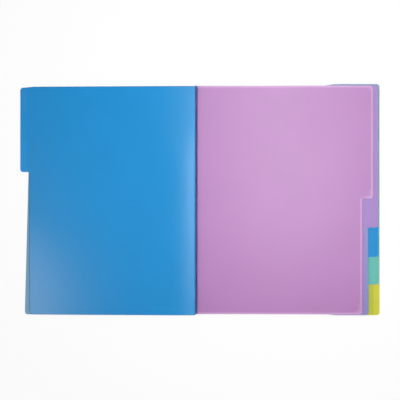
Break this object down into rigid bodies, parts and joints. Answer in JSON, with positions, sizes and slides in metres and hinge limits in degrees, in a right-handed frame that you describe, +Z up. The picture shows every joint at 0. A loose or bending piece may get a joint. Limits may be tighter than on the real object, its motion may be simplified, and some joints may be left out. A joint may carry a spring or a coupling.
{
  "type": "expanding file",
  "caption": "Expanding file of thin plastic sheet, open like a book: pleated pockets with stepped tabs on the back cover, tabbed leaves on the turned-over front cover",
  "frame": {"origin": "on the table, under the middle of the open file's bounding box", "axes": "+X across the open file from the turned-over front cover to the pocket block's fore-edge, +Y from foot to head, +Z up from the table"},
  "size_m": [0.4934, 0.3174, 0.0238],
  "materials": {
    "cover_sheet": "translucent pale blue polypropylene sheet, fine matt grain",
    "blue_sheet": "blue polypropylene sheet, fine matt grain with a soft sheen",
    "pink_sheet": "pink polypropylene sheet, fine matt grain with a soft sheen",
    "purple_sheet": "purple translucent polypropylene sheet, fine matt grain",
    "teal_sheet": "teal translucent polypropylene sheet, fine matt grain",
    "yellow_sheet": "yellow translucent polypropylene sheet, fine matt grain",
    "pleat_sheet": "thin translucent polypropylene film, creased"
  },
  "bodies": {
    "back_cover": {"back_cover": "cover_sheet", "spine_panel": "cover_sheet", "spine_fold_5": "pleat_sheet"},
    "divider_yellow": {"divider_yellow": "yellow_sheet", "spine_fold_4": "pleat_sheet"},
    "divider_teal": {"divider_teal": "teal_sheet", "spine_fold_3": "pleat_sheet"},
    "divider_blue": {"divider_blue": "blue_sheet", "spine_fold_2": "pleat_sheet"},
    "divider_purple": {"divider_purple": "purple_sheet", "spine_fold_1": "pleat_sheet"},
    "front_panel": {"front_panel": "pink_sheet"},
    "front_cover": {"front_cover": "cover_sheet", "strip_teal": "pleat_sheet"},
    "leaf_teal": {"leaf_teal": "teal_sheet", "strip_yellow": "pleat_sheet"},
    "leaf_yellow": {"leaf_yellow": "yellow_sheet", "strip_blue": "pleat_sheet"},
    "leaf_blue": {"leaf_blue": "blue_sheet"},
    "pleat_5_head_back": {"pleat_5_head_back": "pleat_sheet"},
    "pleat_5_head_front": {"pleat_5_head_front": "pleat_sheet"},
    "pleat_5_foot_back": {"pleat_5_foot_back": "pleat_sheet"},
    "pleat_5_foot_front": {"pleat_5_foot_front": "pleat_sheet"},
    "pleat_4_head_back": {"pleat_4_head_back": "pleat_sheet"},
    "pleat_4_head_front": {"pleat_4_head_front": "pleat_sheet"},
    "pleat_4_foot_back": {"pleat_4_foot_back": "pleat_sheet"},
    "pleat_4_foot_front": {"pleat_4_foot_front": "pleat_sheet"},
    "pleat_3_head_back": {"pleat_3_head_back": "pleat_sheet"},
    "pleat_3_head_front": {"pleat_3_head_front": "pleat_sheet"},
    "pleat_3_foot_back": {"pleat_3_foot_back": "pleat_sheet"},
    "pleat_3_foot_front": {"pleat_3_foot_front": "pleat_sheet"},
    "pleat_2_head_back": {"pleat_2_head_back": "pleat_sheet"},
    "pleat_2_head_front": {"pleat_2_head_front": "pleat_sheet"},
    "pleat_2_foot_back": {"pleat_2_foot_back": "pleat_sheet"},
    "pleat_2_foot_front": {"pleat_2_foot_front": "pleat_sheet"},
    "pleat_1_head_back": {"pleat_1_head_back": "pleat_sheet"},
    "pleat_1_head_front": {"pleat_1_head_front": "pleat_sheet"},
    "pleat_1_foot_back": {"pleat_1_foot_back": "pleat_sheet"},
    "pleat_1_foot_front": {"pleat_1_foot_front": "pleat_sheet"}
  },
  "joints": [
    {"name": "cover_turn", "type": "hinge", "parent": "back_cover", "child": "front_cover", "pos_m": [-0.00584, 0, 0.0175], "axis": [0, -1, 0], "range_deg": [-184.17, 0]},
    {"name": "leaf_teal_turn", "type": "hinge", "parent": "front_cover", "child": "leaf_teal", "pos_m": [-0.00707, 0, 0.01856], "axis": [0, 1, 0], "range_deg": [0, 45]},
    {"name": "leaf_yellow_turn", "type": "hinge", "parent": "leaf_teal", "child": "leaf_yellow", "pos_m": [-0.00721, 0, 0.02056], "axis": [0, 1, 0], "range_deg": [0, 45]},
    {"name": "leaf_blue_turn", "type": "hinge", "parent": "leaf_yellow", "child": "leaf_blue", "pos_m": [-0.00736, 0, 0.02255], "axis": [0, 1, 0], "range_deg": [0, 45]},
    {"name": "pocket_5", "type": "hinge", "parent": "back_cover", "child": "divider_yellow", "pos_m": [-0.00263, 0, 0.00155], "axis": [0, -1, 0], "range_deg": [0, 6]},
    {"name": "pocket_4", "type": "hinge", "parent": "divider_yellow", "child": "divider_teal", "pos_m": [-0.00263, 0, 0.00355], "axis": [0, -1, 0], "range_deg": [0, 6]},
    {"name": "pocket_3", "type": "hinge", "parent": "divider_teal", "child": "divider_blue", "pos_m": [-0.00263, 0, 0.00555], "axis": [0, -1, 0], "range_deg": [0, 6]},
    {"name": "pocket_2", "type": "hinge", "parent": "divider_blue", "child": "divider_purple", "pos_m": [-0.00263, 0, 0.00755], "axis": [0, -1, 0], "range_deg": [0, 6]},
    {"name": "pocket_1", "type": "hinge", "parent": "divider_purple", "child": "front_panel", "pos_m": [-0.00263, 0, 0.00955], "axis": [0, -1, 0], "range_deg": [0, 6]},
    {"name": "pleat_5_head_back_fold", "type": "hinge", "parent": "back_cover", "child": "pleat_5_head_back", "pos_m": [-0.00263, 0.1564, 0.00125], "axis": [-1, 0, 0], "range_deg": [0, 36]},
    {"name": "pleat_5_head_front_fold", "type": "hinge", "parent": "divider_yellow", "child": "pleat_5_head_front", "pos_m": [-0.00263, 0.1564, 0.00185], "axis": [1, 0, 0], "range_deg": [0, 36]},
    {"name": "pleat_5_foot_back_fold", "type": "hinge", "parent": "back_cover", "child": "pleat_5_foot_back", "pos_m": [-0.00263, -0.1564, 0.00125], "axis": [1, 0, 0], "range_deg": [0, 36]},
    {"name": "pleat_5_foot_front_fold", "type": "hinge", "parent": "divider_yellow", "child": "pleat_5_foot_front", "pos_m": [-0.00263, -0.1564, 0.00185], "axis": [-1, 0, 0], "range_deg": [0, 36]},
    {"name": "pleat_4_head_back_fold", "type": "hinge", "parent": "divider_yellow", "child": "pleat_4_head_back", "pos_m": [-0.00263, 0.1564, 0.00325], "axis": [-1, 0, 0], "range_deg": [0, 36]},
    {"name": "pleat_4_head_front_fold", "type": "hinge", "parent": "divider_teal", "child": "pleat_4_head_front", "pos_m": [-0.00263, 0.1564, 0.00385], "axis": [1, 0, 0], "range_deg": [0, 36]},
    {"name": "pleat_4_foot_back_fold", "type": "hinge", "parent": "divider_yellow", "child": "pleat_4_foot_back", "pos_m": [-0.00263, -0.1564, 0.00325], "axis": [1, 0, 0], "range_deg": [0, 36]},
    {"name": "pleat_4_foot_front_fold", "type": "hinge", "parent": "divider_teal", "child": "pleat_4_foot_front", "pos_m": [-0.00263, -0.1564, 0.00385], "axis": [-1, 0, 0], "range_deg": [0, 36]},
    {"name": "pleat_3_head_back_fold", "type": "hinge", "parent": "divider_teal", "child": "pleat_3_head_back", "pos_m": [-0.00263, 0.1564, 0.00525], "axis": [-1, 0, 0], "range_deg": [0, 36]},
    {"name": "pleat_3_head_front_fold", "type": "hinge", "parent": "divider_blue", "child": "pleat_3_head_front", "pos_m": [-0.00263, 0.1564, 0.00585], "axis": [1, 0, 0], "range_deg": [0, 36]},
    {"name": "pleat_3_foot_back_fold", "type": "hinge", "parent": "divider_teal", "child": "pleat_3_foot_back", "pos_m": [-0.00263, -0.1564, 0.00525], "axis": [1, 0, 0], "range_deg": [0, 36]},
    {"name": "pleat_3_foot_front_fold", "type": "hinge", "parent": "divider_blue", "child": "pleat_3_foot_front", "pos_m": [-0.00263, -0.1564, 0.00585], "axis": [-1, 0, 0], "range_deg": [0, 36]},
    {"name": "pleat_2_head_back_fold", "type": "hinge", "parent": "divider_blue", "child": "pleat_2_head_back", "pos_m": [-0.00263, 0.1564, 0.00725], "axis": [-1, 0, 0], "range_deg": [0, 36]},
    {"name": "pleat_2_head_front_fold", "type": "hinge", "parent": "divider_purple", "child": "pleat_2_head_front", "pos_m": [-0.00263, 0.1564, 0.00785], "axis": [1, 0, 0], "range_deg": [0, 36]},
    {"name": "pleat_2_foot_back_fold", "type": "hinge", "parent": "divider_blue", "child": "pleat_2_foot_back", "pos_m": [-0.00263, -0.1564, 0.00725], "axis": [1, 0, 0], "range_deg": [0, 36]},
    {"name": "pleat_2_foot_front_fold", "type": "hinge", "parent": "divider_purple", "child": "pleat_2_foot_front", "pos_m": [-0.00263, -0.1564, 0.00785], "axis": [-1, 0, 0], "range_deg": [0, 36]},
    {"name": "pleat_1_head_back_fold", "type": "hinge", "parent": "divider_purple", "child": "pleat_1_head_back", "pos_m": [-0.00263, 0.1564, 0.00925], "axis": [-1, 0, 0], "range_deg": [0, 36]},
    {"name": "pleat_1_head_front_fold", "type": "hinge", "parent": "front_panel", "child": "pleat_1_head_front", "pos_m": [-0.00263, 0.1564, 0.00985], "axis": [1, 0, 0], "range_deg": [0, 36]},
    {"name": "pleat_1_foot_back_fold", "type": "hinge", "parent": "divider_purple", "child": "pleat_1_foot_back", "pos_m": [-0.00263, -0.1564, 0.00925], "axis": [1, 0, 0], "range_deg": [0, 36]},
    {"name": "pleat_1_foot_front_fold", "type": "hinge", "parent": "front_panel", "child": "pleat_1_foot_front", "pos_m": [-0.00263, -0.1564, 0.00985], "axis": [-1, 0, 0], "range_deg": [0, 36]}
  ],
  "couplings": [
    {"joint": "pleat_5_head_back_fold", "follows": "pocket_5", "ratio": 6},
    {"joint": "pleat_5_head_front_fold", "follows": "pocket_5", "ratio": 6},
    {"joint": "pleat_5_foot_back_fold", "follows": "pocket_5", "ratio": 6},
    {"joint": "pleat_5_foot_front_fold", "follows": "pocket_5", "ratio": 6},
    {"joint": "pleat_4_head_back_fold", "follows": "pocket_4", "ratio": 6},
    {"joint": "pleat_4_head_front_fold", "follows": "pocket_4", "ratio": 6},
    {"joint": "pleat_4_foot_back_fold", "follows": "pocket_4", "ratio": 6},
    {"joint": "pleat_4_foot_front_fold", "follows": "pocket_4", "ratio": 6},
    {"joint": "pleat_3_head_back_fold", "follows": "pocket_3", "ratio": 6},
    {"joint": "pleat_3_head_front_fold", "follows": "pocket_3", "ratio": 6},
    {"joint": "pleat_3_foot_back_fold", "follows": "pocket_3", "ratio": 6},
    {"joint": "pleat_3_foot_front_fold", "follows": "pocket_3", "ratio": 6},
    {"joint": "pleat_2_head_back_fold", "follows": "pocket_2", "ratio": 6},
    {"joint": "pleat_2_head_front_fold", "follows": "pocket_2", "ratio": 6},
    {"joint": "pleat_2_foot_back_fold", "follows": "pocket_2", "ratio": 6},
    {"joint": "pleat_2_foot_front_fold", "follows": "pocket_2", "ratio": 6},
    {"joint": "pleat_1_head_back_fold", "follows": "pocket_1", "ratio": 6},
    {"joint": "pleat_1_head_front_fold", "follows": "pocket_1", "ratio": 6},
    {"joint": "pleat_1_foot_back_fold", "follows": "pocket_1", "ratio": 6},
    {"joint": "pleat_1_foot_front_fold", "follows": "pocket_1", "ratio": 6}
  ]
}
